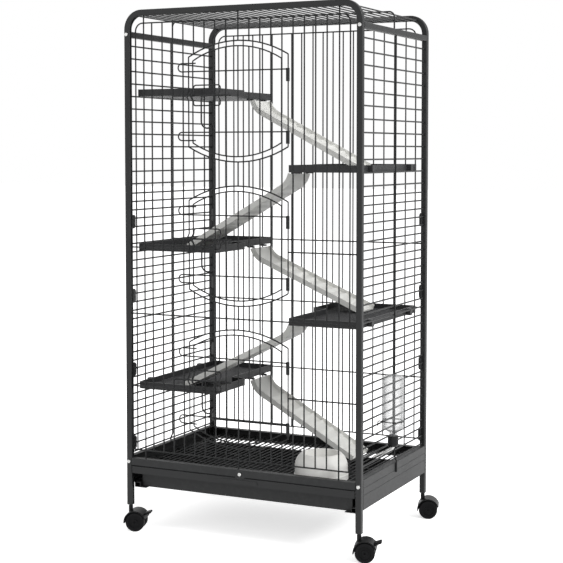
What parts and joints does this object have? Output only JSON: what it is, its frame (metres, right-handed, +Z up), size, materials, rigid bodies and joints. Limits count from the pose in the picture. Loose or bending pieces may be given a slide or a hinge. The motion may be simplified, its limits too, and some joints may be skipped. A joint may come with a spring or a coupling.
{
  "type": "small animal cage",
  "caption": "Tall wire cage on casters with arched front doors, stepped shelves joined by ramps, a floor grid, a pull-out tray, a bowl and a water bottle",
  "frame": {"origin": "middle of the footprint at floor level", "axes": "+Z up, +X to the right seen from the doors, -Y toward the doors' side"},
  "size_m": [0.7044, 0.4976, 1.31],
  "materials": {
    "frame_paint": "charcoal powder coat, fine satin texture",
    "sheet_paint": "charcoal powder coat on folded sheet",
    "wire_paint": "dark coated wire, satin",
    "bright_screw": "bright zinc",
    "shelf_plastic": "dark grey moulded, matt",
    "ramp_plastic": "warm off-white moulded, matt",
    "bowl_plastic": "warm off-white, soft gloss",
    "bottle_clear": "clear bottle wall",
    "cap_plastic": "black ribbed cap",
    "steel_spout": "drawn steel tube",
    "caster_plastic": "black nylon",
    "wheel_plastic": "black wheel plastic"
  },
  "bodies": {
    "frame": {"back_bottom_rail": "sheet_paint", "back_panel": "wire_paint", "back_tube_frame": "frame_paint", "bottle_body": "bottle_clear", "bottle_cap": "cap_plastic", "bottle_holder": "wire_paint", "bottle_spout": "steel_spout", "caster_sockets": "caster_plastic", "floor_grid": "wire_paint", "food_bowl": "bowl_plastic", "frame_screws": "bright_screw", "front_bottom_rail": "sheet_paint", "front_panel": "wire_paint", "front_tube_frame": "frame_paint", "middle_hoop": "wire_paint", "opening_wires": "wire_paint", "post_tabs": "frame_paint", "ramp_five": "ramp_plastic", "ramp_four": "ramp_plastic", "ramp_one": "ramp_plastic", "ramp_three": "ramp_plastic", "ramp_two": "ramp_plastic", "shelf_five": "shelf_plastic", "shelf_four": "shelf_plastic", "shelf_one": "shelf_plastic", "shelf_three": "shelf_plastic", "shelf_two": "shelf_plastic", "side_panel_left": "wire_paint", "side_panel_right": "wire_paint", "side_rail_left": "sheet_paint", "side_rail_right": "sheet_paint", "top_panel": "wire_paint", "top_rail_left": "frame_paint", "top_rail_right": "frame_paint"},
    "door_upper": {"door_upper_frame": "wire_paint", "door_upper_cross_wires": "wire_paint", "door_upper_guide": "wire_paint", "door_upper_clips": "wire_paint"},
    "door_upper_bolt": {"door_upper_bolt": "wire_paint"},
    "door_middle": {"door_middle_frame": "wire_paint", "door_middle_cross_wires": "wire_paint", "door_middle_guide": "wire_paint", "door_middle_clips": "wire_paint"},
    "door_middle_bolt": {"door_middle_bolt": "wire_paint"},
    "door_lower": {"door_lower_frame": "wire_paint", "door_lower_cross_wires": "wire_paint", "door_lower_guide": "wire_paint", "door_lower_clips": "wire_paint"},
    "door_lower_bolt": {"door_lower_bolt": "wire_paint"},
    "tray": {"tray": "sheet_paint"},
    "caster_front_left": {"caster_front_left_hood": "caster_plastic"},
    "caster_front_left_wheels": {"caster_front_left_wheels": "wheel_plastic"},
    "caster_front_left_lever": {"caster_front_left_lever": "caster_plastic"},
    "caster_front_right": {"caster_front_right_hood": "caster_plastic"},
    "caster_front_right_wheels": {"caster_front_right_wheels": "wheel_plastic"},
    "caster_front_right_lever": {"caster_front_right_lever": "caster_plastic"},
    "caster_back_left": {"caster_back_left_hood": "caster_plastic"},
    "caster_back_left_wheels": {"caster_back_left_wheels": "wheel_plastic"},
    "caster_back_right": {"caster_back_right_hood": "caster_plastic"},
    "caster_back_right_wheels": {"caster_back_right_wheels": "wheel_plastic"}
  },
  "joints": [
    {"name": "door_upper_hinge", "type": "hinge", "parent": "frame", "child": "door_upper", "pos_m": [0.11068, -0.2218, 1.0797], "axis": [0, 0, 1], "range_deg": [0, 140]},
    {"name": "door_upper_bolt_slide", "type": "slide", "parent": "door_upper", "child": "door_upper_bolt", "axis": [1, 0, 0], "range_m": [-0.011, 0.011]},
    {"name": "door_middle_hinge", "type": "hinge", "parent": "frame", "child": "door_middle", "pos_m": [0.11068, -0.2218, 0.7295], "axis": [0, 0, 1], "range_deg": [0, 140]},
    {"name": "door_middle_bolt_slide", "type": "slide", "parent": "door_middle", "child": "door_middle_bolt", "axis": [1, 0, 0], "range_m": [-0.011, 0.011]},
    {"name": "door_lower_hinge", "type": "hinge", "parent": "frame", "child": "door_lower", "pos_m": [0.11068, -0.2218, 0.3808], "axis": [0, 0, 1], "range_deg": [0, 140]},
    {"name": "door_lower_bolt_slide", "type": "slide", "parent": "door_lower", "child": "door_lower_bolt", "axis": [1, 0, 0], "range_m": [-0.011, 0.011]},
    {"name": "tray_slide", "type": "slide", "parent": "frame", "child": "tray", "axis": [0, -1, 0], "range_m": [0, 0.38]},
    {"name": "caster_front_left_swivel", "type": "hinge", "parent": "frame", "child": "caster_front_left", "pos_m": [-0.33182, -0.2218, 0.06], "axis": [0, 0, 1], "continuous": true},
    {"name": "caster_front_left_roll", "type": "hinge", "parent": "caster_front_left", "child": "caster_front_left_wheels", "pos_m": [-0.31751, -0.21729, 0.024], "axis": [-0.3007, 0.9537, 0], "continuous": true},
    {"name": "caster_front_left_brake", "type": "hinge", "parent": "caster_front_left", "child": "caster_front_left_lever", "pos_m": [-0.29384, -0.20982, 0.04339], "axis": [-0.3007, 0.9537, 0], "range_deg": [0, 20]},
    {"name": "caster_front_right_swivel", "type": "hinge", "parent": "frame", "child": "caster_front_right", "pos_m": [0.29518, -0.2218, 0.06], "axis": [0, 0, 1], "continuous": true},
    {"name": "caster_front_right_roll", "type": "hinge", "parent": "caster_front_right", "child": "caster_front_right_wheels", "pos_m": [0.30949, -0.21729, 0.024], "axis": [-0.3007, 0.9537, 0], "continuous": true},
    {"name": "caster_front_right_brake", "type": "hinge", "parent": "caster_front_right", "child": "caster_front_right_lever", "pos_m": [0.33316, -0.20982, 0.04339], "axis": [-0.3007, 0.9537, 0], "range_deg": [0, 20]},
    {"name": "caster_back_left_swivel", "type": "hinge", "parent": "frame", "child": "caster_back_left", "pos_m": [-0.33182, 0.2132, 0.06], "axis": [0, 0, 1], "continuous": true},
    {"name": "caster_back_left_roll", "type": "hinge", "parent": "caster_back_left", "child": "caster_back_left_wheels", "pos_m": [-0.31751, 0.21771, 0.024], "axis": [-0.3007, 0.9537, 0], "continuous": true},
    {"name": "caster_back_right_swivel", "type": "hinge", "parent": "frame", "child": "caster_back_right", "pos_m": [0.29518, 0.2132, 0.06], "axis": [0, 0, 1], "continuous": true},
    {"name": "caster_back_right_roll", "type": "hinge", "parent": "caster_back_right", "child": "caster_back_right_wheels", "pos_m": [0.30949, 0.21771, 0.024], "axis": [-0.3007, 0.9537, 0], "continuous": true}
  ]
}
